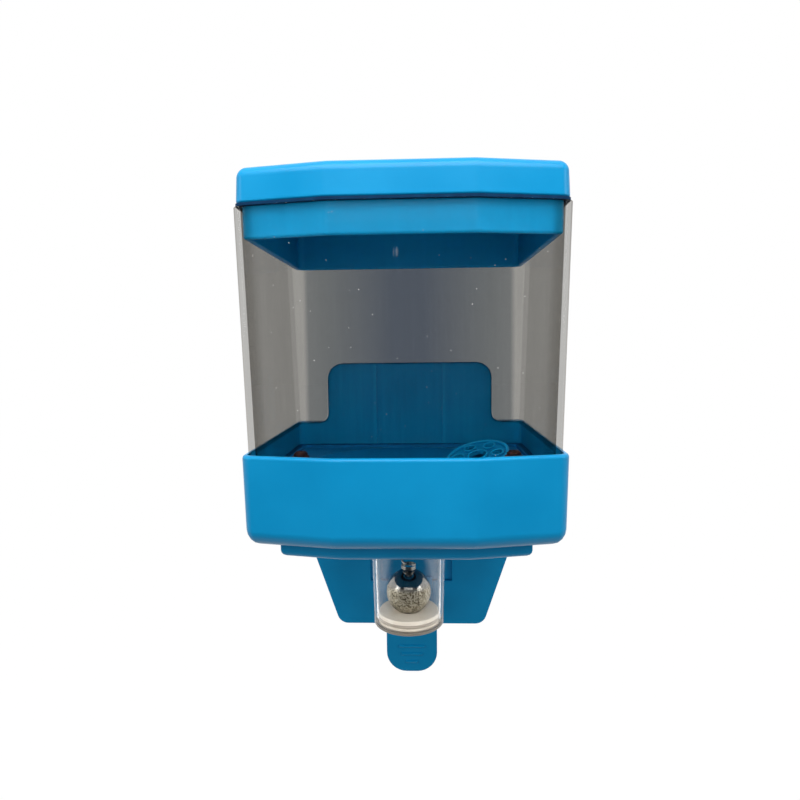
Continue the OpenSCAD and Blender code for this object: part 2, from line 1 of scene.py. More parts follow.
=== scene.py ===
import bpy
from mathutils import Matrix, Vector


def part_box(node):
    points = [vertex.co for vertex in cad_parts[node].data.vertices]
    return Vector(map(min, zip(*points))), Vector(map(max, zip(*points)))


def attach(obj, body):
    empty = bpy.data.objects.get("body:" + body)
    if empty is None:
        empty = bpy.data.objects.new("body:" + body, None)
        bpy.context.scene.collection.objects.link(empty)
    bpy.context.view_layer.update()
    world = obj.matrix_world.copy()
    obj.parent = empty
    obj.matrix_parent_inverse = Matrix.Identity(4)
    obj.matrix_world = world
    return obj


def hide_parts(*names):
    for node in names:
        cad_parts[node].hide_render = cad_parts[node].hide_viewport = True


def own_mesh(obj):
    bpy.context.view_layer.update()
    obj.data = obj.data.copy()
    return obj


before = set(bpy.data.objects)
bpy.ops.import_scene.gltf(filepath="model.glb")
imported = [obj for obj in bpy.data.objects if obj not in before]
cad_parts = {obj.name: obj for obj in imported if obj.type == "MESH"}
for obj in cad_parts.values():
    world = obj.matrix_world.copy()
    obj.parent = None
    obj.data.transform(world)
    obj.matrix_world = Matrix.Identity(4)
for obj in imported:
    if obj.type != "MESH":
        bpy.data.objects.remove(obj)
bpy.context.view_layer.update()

import math

import bmesh
import bpy
from mathutils import Euler, Matrix, Vector

# Lid
# A blue cap moulded in one piece from polypropylene. Its brim has a soft rounded upper edge and lies on
# the seal at the tub's mouth, and a hollow plug hangs below it and keeps the cap in place.


def ends(node):
    """Lowest and highest corners of a CAD node in millimetres."""
    low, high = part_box(node)
    return low * 1000, high * 1000


HALF_W, BODY_D = ends("base")[1].x, -ends("base")[0].y
FACET_W, FACET_SET = 53.0, 7.0
CORNER_R, FACET_R = 5.0, 10.0
FACET_TURN = math.atan2(FACET_SET, HALF_W - FACET_W / 2)
RIM_Z = 24.0
TUB_DRAFT = math.tan(math.radians(1.5))
TUB_IN, TUB_REAR, TUB_WALL = 2.3, -8.0, 2.4


def tub_in(z):
    """Inset of the tub's outer face at a height, from the greatest half width of the base."""
    return TUB_IN - (z - RIM_Z) * TUB_DRAFT


def tub_rear(z):
    """Rear face of the tub at a height."""
    return TUB_REAR + (z - RIM_Z) * TUB_DRAFT


def bent(corners):
    """Closed outline through corners given as two coordinates, a radius and the steps of its arc."""
    points = []
    for i, (x, y, r, steps) in enumerate(corners):
        here = Vector((x, y))
        to = (here - Vector(corners[i - 1][:2])).normalized()
        on = (Vector(corners[(i + 1) % len(corners)][:2]) - here).normalized()
        bend = math.atan2(to.cross(on), to.dot(on))
        if r == 0 or abs(bend) < 1e-4:
            points.append((x, y))
            continue
        side = math.copysign(1.0, bend)
        middle = here - to * r * math.tan(abs(bend) / 2) + side * r * Vector((-to.y, to.x))
        start = math.atan2(-side * to.x, side * to.y)
        for k in range(steps + 1):
            a = start + bend * k / steps
            points.append((middle.x + r * math.cos(a), middle.y + r * math.sin(a)))
    return points


def arc(steps, turn=90):
    """Angles of an arc in even steps, from nought to its turn in degrees."""
    return [math.radians(turn * k / steps) for k in range(steps + 1)]


def level(inset, rear, rear_r, z):
    """One ring of the pot's plan at a height: a flat front, two slanted faces, round corners."""
    half, front = HALF_W - inset, inset - BODY_D
    fx = FACET_W / 2 - inset * math.tan(FACET_TURN / 2)
    sy = FACET_SET - BODY_D + inset * math.tan(math.pi / 4 - FACET_TURN / 2)
    side_r = max(CORNER_R - inset, 0.8)
    outline = bent(
        [
            (-fx, front, FACET_R, 8),
            (fx, front, FACET_R, 8),
            (half, sy, side_r, 14),
            (half, rear, rear_r, 10),
            (-half, rear, rear_r, 10),
            (-half, sy, side_r, 14),
        ]
    )
    return [(x, y, z) for x, y in outline]


def settle(made):
    """Piece with its modifiers applied, so that flat faces shade flat and roundings shade round."""
    even = made.modifiers.new("even_shading", "WEIGHTED_NORMAL")
    even.keep_sharp = True
    even.weight = 90
    seen = made.evaluated_get(bpy.context.evaluated_depsgraph_get())
    finished = bpy.data.meshes.new_from_object(seen)
    made.modifiers.clear()
    made.data = finished
    return made


def piece_from(name, work, sharp=38):
    """Object made from a bmesh, smooth except along edges sharper than the given angle."""
    mesh = bpy.data.meshes.new(name)
    work.to_mesh(mesh)
    work.free()
    mesh.shade_smooth()
    mesh.set_sharp_from_angle(angle=math.radians(sharp))
    made = bpy.data.objects.new(name, mesh)
    bpy.context.scene.collection.objects.link(made)
    return made


def skin(name, rings, closed=False):
    """Piece skinned through rings of millimetre points, capped at both ends or closed into a loop."""
    work = bmesh.new()
    rows = [[work.verts.new([c / 1000 for c in p]) for p in ring] for ring in rings]
    n = len(rows[0])
    pairs = list(zip(rows, rows[1:])) + ([(rows[-1], rows[0])] if closed else [])
    for low, high in pairs:
        for j in range(n):
            work.faces.new((low[j], low[(j + 1) % n], high[(j + 1) % n], high[j]))
    if not closed:
        work.faces.new(rows[0][::-1])
        work.faces.new(rows[-1])
    bmesh.ops.recalc_face_normals(work, faces=work.faces)
    return settle(piece_from(name, work))


def dress(made, material, body, slot_name, *nodes):
    """Piece given its material, the body it rides on and the nodes that it stands for; its slot name is not
    used.
    """
    made.data.materials.clear()
    made.data.materials.append(material)
    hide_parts(*nodes)
    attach(made, body)
    return made


def linear(code):
    """Linear colour from an sRGB hex code."""
    parts = [int(code[i : i + 2], 16) / 255 for i in (1, 3, 5)]
    return [p / 12.92 if p <= 0.04045 else ((p + 0.055) / 1.055) ** 2.4 for p in parts] + [1.0]


def add(tree, kind, links=None, values=None, **settings):
    """Node of a kind in a node tree, with its settings, input values and links."""
    node = tree.nodes.new(kind)
    for key, value in settings.items():
        setattr(node, key, value)
    for key, value in (values or {}).items():
        node.inputs[key].default_value = value
    for key, socket in (links or {}).items():
        tree.links.new(socket, node.inputs[key])
    return node


def new_material(name):
    """Empty material and its node tree."""
    material = bpy.data.materials.new(name)
    material.use_nodes = True
    material.node_tree.nodes.clear()
    return material, material.node_tree


def tones(tree, factor, *stops):
    """Colour that runs through hex codes placed along the factor."""
    ramp = add(tree, "ShaderNodeValToRGB", {"Fac": factor})
    marks = ramp.color_ramp.elements
    marks.remove(marks[1])
    marks[0].position, marks[0].color = stops[0][0], linear(stops[0][1])
    for place, code in stops[1:]:
        marks.new(place).color = linear(code)
    return ramp.outputs["Color"]


# Moulded polypropylene, coloured in the mass. The mould's fine spark-eroded grain breaks up the gloss,
# and slow sink marks and flow leave the colour and the sheen a little uneven. Oil darkens it, and the same
# darker blue is painted shade where the lid shades the floor and between the strainer's rings.
blue_plastic, tree = new_material("moulded_blue_polypropylene")
place = add(tree, "ShaderNodeTexCoord").outputs["Object"]
FLOW, PEEL, GRAIN = 0.030, 0.0022, 0.0006
flow = add(tree, "ShaderNodeTexNoise", {"Vector": place}, {"Scale": 1 / FLOW, "Detail": 3.0}).outputs["Fac"]
peel = add(tree, "ShaderNodeTexNoise", {"Vector": place}, {"Scale": 1 / PEEL, "Detail": 1.0}).outputs["Fac"]
grain = add(
    tree, "ShaderNodeTexNoise", {"Vector": place}, {"Scale": 1 / GRAIN, "Detail": 2.0}
).outputs["Fac"]
sheen = add(
    tree,
    "ShaderNodeMapRange",
    {"Value": flow},
    {"From Min": 0.3, "From Max": 0.7, "To Min": 0.28, "To Max": 0.38},
)
sunk = add(tree, "ShaderNodeBump", {"Height": flow}, {"Strength": 0.25, "Distance": 0.0003})
peeled = add(
    tree,
    "ShaderNodeBump",
    {"Height": peel, "Normal": sunk.outputs[0]},
    {"Strength": 0.06, "Distance": 0.0001},
)
grained = add(
    tree,
    "ShaderNodeBump",
    {"Height": grain, "Normal": peeled.outputs[0]},
    {"Strength": 0.1, "Distance": 0.0001},
)
oil_and_shade = add(tree, "ShaderNodeAttribute", attribute_name="oil_and_shade").outputs["Fac"]
blue = tones(tree, flow, (0.3, "#008bc2"), (0.7, "#0093cb"))
# The darker blue is oil, and painted shade on the floor under the lid and between the strainer's rings.
blue = add(tree, "ShaderNodeMix", {0: oil_and_shade, 6: blue}, {7: linear("#005e92")}, data_type="RGBA").outputs[2]
shader = add(
    tree,
    "ShaderNodeBsdfPrincipled",
    {"Base Color": blue, "Roughness": sheen.outputs["Result"], "Normal": grained.outputs["Normal"]},
    {"IOR": 1.49, "Specular IOR Level": 0.26},
)
add(tree, "ShaderNodeOutputMaterial", {"Surface": shader.outputs["BSDF"]})

MOUTH_Z, BRIM_Z = ends("reservoir")[1].z, ends("lid_seal")[1].z
PLUG_Z, LID_Z = ends("lid")[0].z, ends("lid")[1].z
LID_IN, LID_REAR, LID_EDGE, LID_TOP = 0.9, ends("lid")[1].y, 4.2, 2.6
BRIM_R, BRIM_DRAFT, BRIM_REAR_R = 0.9, 0.4, 5.0
PLUG_WALL, PLUG_GAP = 2.2, 0.45
INNER_R, ROOT_R = 2.0, 0.6
INNER_REAR_R, PLUG_REAR_R, ROOT_REAR_R = 3.0, 3.5, 4.0
PLUG_IN = tub_in(PLUG_Z) + TUB_WALL + PLUG_GAP
PLUG_REAR = tub_rear(PLUG_Z) - TUB_WALL - PLUG_GAP
lid_rings = []
for a in arc(6):
    d = PLUG_WALL + INNER_R * (1 - math.sin(a))
    z = LID_Z - LID_TOP - INNER_R * (1 - math.cos(a))
    lid_rings.append(level(PLUG_IN + d, PLUG_REAR - d, INNER_REAR_R, z))
for a in arc(8, 180):
    d = PLUG_WALL / 2 * (1 + math.cos(a))
    z = PLUG_Z + PLUG_WALL / 2 * (1 - math.sin(a))
    lid_rings.append(level(PLUG_IN + d, PLUG_REAR - d, PLUG_REAR_R, z))
for a in arc(3):
    d = ROOT_R * (1 - math.cos(a))
    z = BRIM_Z - ROOT_R * (1 - math.sin(a))
    lid_rings.append(level(PLUG_IN - d, PLUG_REAR + d, ROOT_REAR_R, z))
for a in arc(5):
    d = BRIM_R * (1 - math.sin(a))
    z = BRIM_Z + BRIM_R * (1 - math.cos(a))
    lid_rings.append(level(LID_IN + d, LID_REAR - d, BRIM_REAR_R, z))
for a in arc(12):
    d = BRIM_DRAFT + LID_EDGE * (1 - math.cos(a))
    z = LID_Z - LID_EDGE * (1 - math.sin(a))
    lid_rings.append(level(LID_IN + d, LID_REAR - d, BRIM_REAR_R, z))
dress(skin("lid_cap", lid_rings), blue_plastic, "cap", "blue_plastic", "lid")

# Lid seal
# A flat ring punched from blue-black rubber sheet. It lies under the brim, where it shows as a thin dark
# line above the tub's mouth; its dark blue also stands in for the shade of the gap under the brim.

# Cut rubber sheet: dull, with a slightly paler bloom and a faintly lumpy skin. Where oil wets it, it takes
# on the blue around it.
black_rubber, tree = new_material("black_rubber_sheet")
place = add(tree, "ShaderNodeTexCoord").outputs["Object"]
BLOOM = 0.004
bloom = add(
    tree, "ShaderNodeTexNoise", {"Vector": place}, {"Scale": 1 / BLOOM, "Detail": 4.0}
).outputs["Fac"]
skinned = add(tree, "ShaderNodeBump", {"Height": bloom}, {"Strength": 0.3, "Distance": 0.0001})
oil_and_shade = add(tree, "ShaderNodeAttribute", attribute_name="oil_and_shade").outputs["Fac"]
rubber = tones(tree, bloom, (0.3, "#00284a"), (0.7, "#003559"))
rubber = add(
    tree, "ShaderNodeMix", {0: oil_and_shade, 6: rubber}, {7: linear("#00659d")}, data_type="RGBA"
).outputs[2]
shader = add(
    tree,
    "ShaderNodeBsdfPrincipled",
    {"Base Color": rubber, "Normal": skinned.outputs["Normal"]},
    {"Roughness": 0.72, "IOR": 1.52, "Specular IOR Level": 0.12},
)
add(tree, "ShaderNodeOutputMaterial", {"Surface": shader.outputs["BSDF"]})


def finish_node(name, material):
    """CAD node kept as it is, with the given material as its only one."""
    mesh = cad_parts[name].data
    mesh.materials.clear()
    mesh.materials.append(material)


# The seal's dark blue is also painted shade for the gap under the brim.
finish_node("lid_seal", black_rubber)

# Tub
# The reservoir is a smoke-tinted clear polystyrene moulding, open at both ends. Its walls lean out by
# the mould's draft, and its lower edge stands on a gasket inside the base's rim.

# Tinted polystyrene, polished by the mould: its gloss is a clear top layer. Wiping has left faint upright
# streaks that let more light through, a few specks of dust cling to it, and the wall ripples slowly.
smoke_plastic, tree = new_material("smoke_tinted_polystyrene")
place = add(tree, "ShaderNodeTexCoord").outputs["Object"]
STREAK_W, STREAK_L, RIPPLE = 0.0016, 0.060, 0.014
upright = add(tree, "ShaderNodeMapping", {"Vector": place}, {"Scale": (1.0, 1.0, STREAK_W / STREAK_L)})
streak = add(
    tree, "ShaderNodeTexNoise", {"Vector": upright.outputs[0]}, {"Scale": 1 / STREAK_W, "Detail": 3.0}
).outputs["Fac"]
ripple = add(
    tree, "ShaderNodeTexNoise", {"Vector": place}, {"Scale": 1 / RIPPLE, "Detail": 0.0}
).outputs["Fac"]
rippled = add(tree, "ShaderNodeBump", {"Height": ripple}, {"Strength": 0.03, "Distance": 0.0003})
wiped = add(
    tree,
    "ShaderNodeMapRange",
    {"Value": streak},
    {"From Min": 0.5, "From Max": 0.8, "To Min": 0.01, "To Max": 0.08},
)

# The grey that shows through the tub is carried by its side and rear walls: partly the plastic's own smoke,
# partly painted shade darkening what is seen through, with paler painted-light bands at the corners. It is
# bluer and deeper in the middle of the rear wall, as painted shade. It stops where the blue base stands
# behind the wall, which paints light onto the base, and the ribs that touch the wall get a painted
# highlight.
# FROM and FULL are where each part of the tint starts and is complete, in metres.
TAB_W, TAB_TOP, TAB_R, SHOULDER_R, SHOULDER_BLEND = 85.0, 55.0, 8.0, 5.0, 1.76
RIB_PITCH, RIB_W, RIB_SOFT = 36.0, 1.6, 0.2
TINT_SPAN = 0.112
REAR_FROM, REAR_FULL = -0.0128, -0.0116
BLUE_FROM, BLUE_FULL = 0.0003, -0.0007
FRONT_FROM, FRONT_FULL = -0.099, -0.097
spot = add(tree, "ShaderNodeSeparateXYZ", {0: place}).outputs
CORNER_TURN = math.tan(math.pi / 4 - FACET_TURN / 2)
corner_in = CORNER_TURN * (TUB_IN + RIM_Z * TUB_DRAFT) / 1000
from_corner = add(
    tree,
    "ShaderNodeMath",
    {0: spot["Z"], 2: spot["Y"]},
    {1: CORNER_TURN * TUB_DRAFT},
    operation="MULTIPLY_ADD",
)
depth = add(
    tree,
    "ShaderNodeMapRange",
    {"Value": from_corner.outputs[0]},
    {"From Min": corner_in - TINT_SPAN, "From Max": corner_in},
).outputs[0]
# The pale stops at the front and rear corners are painted light where the wall's edges catch it.
smoke = tones(
    tree,
    depth,
    (0.069, "#e4e3e1"),
    (0.076, "#9c9892"),
    (0.103, "#9e9d9a"),
    (0.841, "#92918e"),
    (0.866, "#afaeab"),
)
across = add(tree, "ShaderNodeMath", {0: spot["X"]}, operation="ABSOLUTE").outputs[0]
side = add(tree, "ShaderNodeMapRange", {"Value": across}, {"From Max": HALF_W / 1000}).outputs[0]
# The rear wall is darker and bluer in the middle: painted shade.
rear_smoke_and_shade = tones(tree, side, (0.13, "#5e6672"), (0.70, "#7c8082"), (0.86, "#848788"), (0.90, "#afaeab"))
in_rear = add(
    tree, "ShaderNodeMapRange", {"Value": spot["Y"]}, {"From Min": REAR_FROM, "From Max": REAR_FULL}
)
smoke = add(
    tree, "ShaderNodeMix", {0: in_rear.outputs[0], 6: smoke, 7: rear_smoke_and_shade}, data_type="RGBA"
).outputs[2]
past_side = add(tree, "ShaderNodeMath", {0: across}, {1: (TAB_W / 2 - TAB_R) / 1000}, operation="SUBTRACT")
past_side = add(tree, "ShaderNodeMath", {0: past_side.outputs[0]}, {1: 0.0}, operation="MAXIMUM")
past_top = add(tree, "ShaderNodeMath", {0: spot["Z"]}, {1: (TAB_TOP - TAB_R) / 1000}, operation="SUBTRACT")
past_top = add(tree, "ShaderNodeMath", {0: past_top.outputs[0]}, {1: 0.0}, operation="MAXIMUM")
past = add(tree, "ShaderNodeCombineXYZ", {"X": past_side.outputs[0], "Y": past_top.outputs[0]})
past = add(tree, "ShaderNodeVectorMath", {0: past.outputs[0]}, operation="LENGTH").outputs["Value"]
off_tab = add(tree, "ShaderNodeMath", {0: past}, {1: TAB_R / 1000}, operation="SUBTRACT")
off_tray = add(tree, "ShaderNodeMath", {0: spot["Z"]}, {1: RIM_Z / 1000}, operation="SUBTRACT")
off_blue = add(
    tree,
    "ShaderNodeMath",
    {0: off_tab.outputs[0], 1: off_tray.outputs[0]},
    {2: SHOULDER_BLEND * SHOULDER_R / 1000},
    operation="SMOOTH_MIN",
)
on_blue = add(
    tree,
    "ShaderNodeMapRange",
    {"Value": off_blue.outputs[0]},
    {"From Min": BLUE_FROM, "From Max": BLUE_FULL},
)
past_front = add(
    tree, "ShaderNodeMapRange", {"Value": spot["Y"]}, {"From Min": FRONT_FROM, "From Max": FRONT_FULL}
)
on_blue = add(
    tree, "ShaderNodeMath", {0: on_blue.outputs[0], 1: past_front.outputs[0]}, operation="MULTIPLY"
)
off_rib = add(tree, "ShaderNodeMath", {0: across}, {1: RIB_PITCH / 2000}, operation="SUBTRACT")
off_rib = add(tree, "ShaderNodeMath", {0: off_rib.outputs[0]}, operation="ABSOLUTE")
rib_highlight = add(
    tree,
    "ShaderNodeMapRange",
    {"Value": off_rib.outputs[0]},
    {"From Min": (RIB_W / 2 + RIB_SOFT) / 1000, "From Max": (RIB_W / 2 - RIB_SOFT) / 1000},
)
rib_highlight = add(tree, "ShaderNodeMath", {0: rib_highlight.outputs[0], 1: in_rear.outputs[0]}, operation="MULTIPLY")
# Over the blue base the wall is left nearly clear, painting light onto the base, and whiter over the ribs as
# a painted highlight.
lit_over_blue = tones(tree, rib_highlight.outputs[0], (0.0, "#f1f4f6"), (1.0, "#ffffff"))
smoke = add(
    tree, "ShaderNodeMix", {0: on_blue.outputs[0], 6: smoke, 7: lit_over_blue}, data_type="RGBA"
).outputs[2]
streaked = add(
    tree,
    "ShaderNodeMix",
    {6: smoke, 7: tones(tree, streak, (0.45, "#f9f9f9"), (0.75, "#ffffff"))},
    {0: 1.0},
    data_type="RGBA",
    blend_type="MULTIPLY",
)
shader = add(
    tree,
    "ShaderNodeBsdfPrincipled",
    {
        "Base Color": streaked.outputs[2],
        "Coat Roughness": wiped.outputs["Result"],
        "Normal": rippled.outputs["Normal"],
        "Coat Normal": rippled.outputs["Normal"],
    },
    {"Roughness": 0.0, "IOR": 1.001, "Coat Weight": 0.13, "Coat IOR": 1.5},
)

# Specks of dust lie one to a cell, and two short upright scuffs mark the front below the lid. Both are
# less clear than the wall around them.
SPECK_CELL, SPECK_R, SPECK_CORE, SPECK_CLEAR = 0.0055, 0.00022, 0.6, 0.5
SCUFF_Z, SCUFF_L, SCUFF_DEEP = 0.0962, 0.0043, 0.0024
SCUFF_CORE, SCUFF_CLEAR = 0.6, 0.9
SCUFFS = ((-0.00256, 0.00055), (-0.00143, 0.0014))
dust = add(tree, "ShaderNodeTexVoronoi", {"Vector": place}, {"Scale": 1 / SPECK_CELL})
speck = add(
    tree,
    "ShaderNodeMapRange",
    {"Value": dust.outputs["Distance"]},
    {
        "From Min": SPECK_R / SPECK_CELL,
        "From Max": SPECK_CORE * SPECK_R / SPECK_CELL,
        "To Min": 1.0,
        "To Max": SPECK_CLEAR,
    },
)
clear = speck.outputs["Result"]
for x, wide in SCUFFS:
    middle = (x, -BODY_D / 1000, SCUFF_Z)
    reach = (wide / 2, SCUFF_DEEP / 2, SCUFF_L / 2)
    off = add(tree, "ShaderNodeVectorMath", {0: place}, {1: middle}, operation="SUBTRACT")
    off = add(tree, "ShaderNodeVectorMath", {0: off.outputs[0]}, {1: reach}, operation="DIVIDE")
    off = add(tree, "ShaderNodeVectorMath", {0: off.outputs[0]}, operation="LENGTH").outputs["Value"]
    scuff = add(
        tree,
        "ShaderNodeMapRange",
        {"Value": off},
        {"From Min": 1.0, "From Max": SCUFF_CORE, "To Min": 1.0, "To Max": SCUFF_CLEAR},
    )
    clear = add(
        tree, "ShaderNodeMath", {0: clear, 1: scuff.outputs["Result"]}, operation="MINIMUM"
    ).outputs[0]
tree.links.new(clear, shader.inputs["Transmission Weight"])
lamp_way = add(tree, "ShaderNodeBsdfTransparent", None, {"Color": linear("#dadad9")})
path = add(tree, "ShaderNodeLightPath")
mixed = add(
    tree,
    "ShaderNodeMixShader",
    {0: path.outputs["Is Shadow Ray"], 1: shader.outputs["BSDF"], 2: lamp_way.outputs["BSDF"]},
)
add(tree, "ShaderNodeOutputMaterial", {"Surface": mixed.outputs["Shader"]})

TUB_Z, TUB_R, TUB_FOOT, TUB_LIP = ends("reservoir")[0].z, 6.0, 0.3, 0.4


def tub_ring(deep, z):
    """Ring of the tub's wall at a depth below its outer face."""
    return level(tub_in(z) + deep, tub_rear(z) - deep, TUB_R - deep, z)


tub_rings = [tub_ring(TUB_FOOT, TUB_Z), tub_ring(0, TUB_Z + TUB_FOOT)]
for a in arc(8, 180):
    tub_rings.append(tub_ring(TUB_WALL / 2 * (1 - math.cos(a)), MOUTH_Z - TUB_LIP * (1 - math.sin(a))))
tub_rings += [tub_ring(TUB_WALL, TUB_Z + TUB_FOOT), tub_ring(TUB_WALL - TUB_FOOT, TUB_Z)]
dress(skin("clear_tub", tub_rings, closed=True), smoke_plastic, "pot", "smoke_plastic", "reservoir")

finish_node("reservoir_gasket", black_rubber)
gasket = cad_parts["reservoir_gasket"].data
oil_and_shade = gasket.attributes.new("oil_and_shade", "FLOAT", "FACE")
oil_and_shade.data.foreach_set("value", [1.0] * len(gasket.polygons))

# Base
# The blue polypropylene base is one moulding: the skirt that holds the tub, the sloping floor, the upper
# tab with its two ribs, and the apron with the pocket for the push tab. Its edges are softly broken. The
# last of the oil darkens the floor, and the same darker blue is painted shade under the lid.


def moulding(node, name, edge):
    """Copy of a CAD node with its corners merged and its sharp edges rounded, as a mould leaves them."""
    work = bmesh.new()
    work.from_mesh(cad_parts[node].data)
    bmesh.ops.remove_doubles(work, verts=work.verts, dist=2e-6)
    bmesh.ops.dissolve_limit(
        work, angle_limit=math.radians(0.8), verts=work.verts, edges=work.edges, delimit=set()
    )
    made = piece_from(name, work, sharp=30)
    soft = made.modifiers.new("broken_edges", "BEVEL")
    soft.width = edge / 1000
    soft.segments = 2
    soft.limit_method = "ANGLE"
    soft.angle_limit = math.radians(34)
    return settle(made)


base = dress(moulding("base", "base_moulding", 0.45), blue_plastic, "pot", "blue_plastic", "base")
tub_low, tub_high = ends("reservoir")
# The floor inside the tub takes the darker blue: the last of the oil, and painted shade where the lid keeps
# the light off it.
OIL_SHADE_IN, OIL_SHADE_FROM, OIL_SHADE_SLOPE = 2.0, -6.0, 0.3
oil_and_shade = base.data.attributes.new("oil_and_shade", "FLOAT", "FACE")
for face in base.data.polygons:
    at = face.center * 1000
    inside = abs(at.x) < tub_high.x - OIL_SHADE_IN and tub_low.y + OIL_SHADE_IN < at.y < TUB_REAR
    on_floor = OIL_SHADE_FROM < at.z < tub_low.z and face.normal.z > OIL_SHADE_SLOPE
    oil_and_shade.data[face.index].value = 1.0 if inside and on_floor else 0.0

# Bottom cover
# A shallow blue dish under the base, held by two screws from above. It clamps the flange of the tube
# against the base, with a gasket between.

dress(moulding("bottom_cover", "bottom_dish", 0.3), blue_plastic, "pot", "blue_plastic", "bottom_cover")

# Cover screws and washers
# Two steel screws go down through the floor. Oil and damp have browned them, and each stands on a
# washer of red pressed fibre.

# Browned steel: a dull brown film with brighter metal where it has worn.
rusty_steel, tree = new_material("browned_steel_screw")
place = add(tree, "ShaderNodeTexCoord").outputs["Object"]
RUST = 0.0016
rust = add(tree, "ShaderNodeTexNoise", {"Vector": place}, {"Scale": 1 / RUST, "Detail": 5.0}).outputs["Fac"]
worn = add(
    tree,
    "ShaderNodeMapRange",
    {"Value": rust},
    {"From Min": 0.35, "From Max": 0.68, "To Min": 0.75, "To Max": 0.4},
)
pitted = add(tree, "ShaderNodeBump", {"Height": rust}, {"Strength": 0.4, "Distance": 0.0002})
shader = add(
    tree,
    "ShaderNodeBsdfPrincipled",
    {
        "Base Color": tones(tree, rust, (0.3, "#280e0c"), (0.7, "#42201a")),
        "Roughness": worn.outputs["Result"],
        "Normal": pitted.outputs["Normal"],
    },
    {"Metallic": 0.4},
)
add(tree, "ShaderNodeOutputMaterial", {"Surface": shader.outputs["BSDF"]})
dress(moulding("cover_screws", "floor_screws", 0.2), rusty_steel, "pot", "rusty_steel", "cover_screws")

# Pressed fibre: matt red-brown, with short flecks of paper.
red_fibre, tree = new_material("red_pressed_fibre")
place = add(tree, "ShaderNodeTexCoord").outputs["Object"]
FLECK = 0.0009
fleck = add(
    tree, "ShaderNodeTexNoise", {"Vector": place}, {"Scale": 1 / FLECK, "Detail": 3.0}
).outputs["Fac"]
matted = add(tree, "ShaderNodeBump", {"Height": fleck}, {"Strength": 0.3, "Distance": 0.0001})
shader = add(
    tree,
    "ShaderNodeBsdfPrincipled",
    {
        "Base Color": tones(tree, fleck, (0.3, "#341211"), (0.7, "#4a1c18")),
        "Normal": matted.outputs["Normal"],
    },
    {"Roughness": 0.65},
)
add(tree, "ShaderNodeOutputMaterial", {"Surface": shader.outputs["BSDF"]})
finish_node("screw_washers", red_fibre)

# Strainer
# A loose blue disc with ring-edged holes, moulded in one piece, that has slid to the right side of the
# floor. Its web, its rim and the ring round each hole are grown from their sizes. Oil wets the web, and its
# darker blue is also painted shade between the raised rim and rings.

AXIS_Y = (ends("valve_ball")[0].y + ends("valve_ball")[1].y) / 2
strainer_low, strainer_high = ends("strainer")
strainer_mid = (strainer_low + strainer_high) / 2
STRAINER_R, STRAINER_RIM, STRAINER_WEB = 15.0, 2.4, 1.2
HOLE_R, HOLE_RING, HOLE_COUNT, CENTRE_R = 2.8, 9.45, 6, 4.5
RIM_T, COLLAR_T, SOFT_R = 1.4, 0.7, 0.25
WEB_OIL_SHADE, WEB_SKIN = 0.5, 0.1
STRAINER_TILT, STRAINER_TURN = math.radians(19.6), math.radians(47)


def new_growth(name, **sizes):
    """Geometry tree with a named input for each size, and its sizes by name."""
    tree = bpy.data.node_groups.new(name, "GeometryNodeTree")
    tree.interface.new_socket("Geometry", in_out="OUTPUT", socket_type="NodeSocketGeometry")
    for key in sizes:
        tree.interface.new_socket(key, in_out="INPUT", socket_type="NodeSocketFloat")
    return tree, tree.nodes.new("NodeGroupInput").outputs


def grown(name, tree, shape, sizes):
    """Piece grown by a geometry tree at the given sizes and turned into a plain mesh."""
    whole = add(tree, "GeometryNodeRealizeInstances", {0: shape})
    smooth = add(tree, "GeometryNodeSetShadeSmooth", {"Geometry": whole.outputs[0]})
    add(tree, "NodeGroupOutput", {"Geometry": smooth.outputs[0]})
    made = bpy.data.objects.new(name, bpy.data.meshes.new(name))
    bpy.context.scene.collection.objects.link(made)
    grower = made.modifiers.new(name, "NODES")
    grower.node_group = tree
    for item in tree.interface.items_tree:
        if item.in_out == "INPUT":
            grower[item.identifier] = sizes[item.name]
    seen = made.evaluated_get(bpy.context.evaluated_depsgraph_get())
    finished = bpy.data.meshes.new_from_object(seen)
    made.modifiers.clear()
    made.data = finished
    finished.set_sharp_from_angle(angle=math.radians(38))
    return settle(made)


strainer_sizes = {
    "Web radius": (STRAINER_R - RIM_T / 2) / 1000,
    "Web": STRAINER_WEB / 1000,
    "Rim": STRAINER_RIM / 1000,
    "Rim wall": RIM_T / 1000,
    "Hole radius": HOLE_R / 1000,
    "Hole ring": HOLE_RING / 1000,
    "Collar wall": COLLAR_T / 1000,
    "Centre radius": CENTRE_R / 1000,
}
tree, size = new_growth("strainer_growth", **strainer_sizes)
rim_way = add(tree, "GeometryNodeCurvePrimitiveCircle", {"Radius": size["Web radius"]}, {"Resolution": 120})
hole_way = add(tree, "GeometryNodeCurvePrimitiveCircle", {"Radius": size["Hole radius"]}, {"Resolution": 40})
centre_way = add(
    tree, "GeometryNodeCurvePrimitiveCircle", {"Radius": size["Centre radius"]}, {"Resolution": 40}
)
spots = add(tree, "GeometryNodeMeshCircle", {"Radius": size["Hole ring"]}, {"Vertices": HOLE_COUNT})
holes = add(
    tree, "GeometryNodeInstanceOnPoints", {"Points": spots.outputs[0], "Instance": hole_way.outputs[0]}
)
holes = add(tree, "GeometryNodeRealizeInstances", {0: holes.outputs[0]})
edges = add(tree, "GeometryNodeJoinGeometry", {0: holes.outputs[0]})
for way in (rim_way, centre_way):
    tree.links.new(way.outputs[0], edges.inputs[0])
sheet = add(tree, "GeometryNodeFillCurve", {0: edges.outputs[0]})
raised = add(
    tree,
    "GeometryNodeExtrudeMesh",
    {"Mesh": sheet.outputs[0], "Offset Scale": size["Web"]},
    {"Individual": False},
)
under = add(tree, "GeometryNodeFlipFaces", {0: sheet.outputs[0]})
web = add(tree, "GeometryNodeJoinGeometry", {0: raised.outputs[0]})
tree.links.new(under.outputs[0], web.inputs[0])
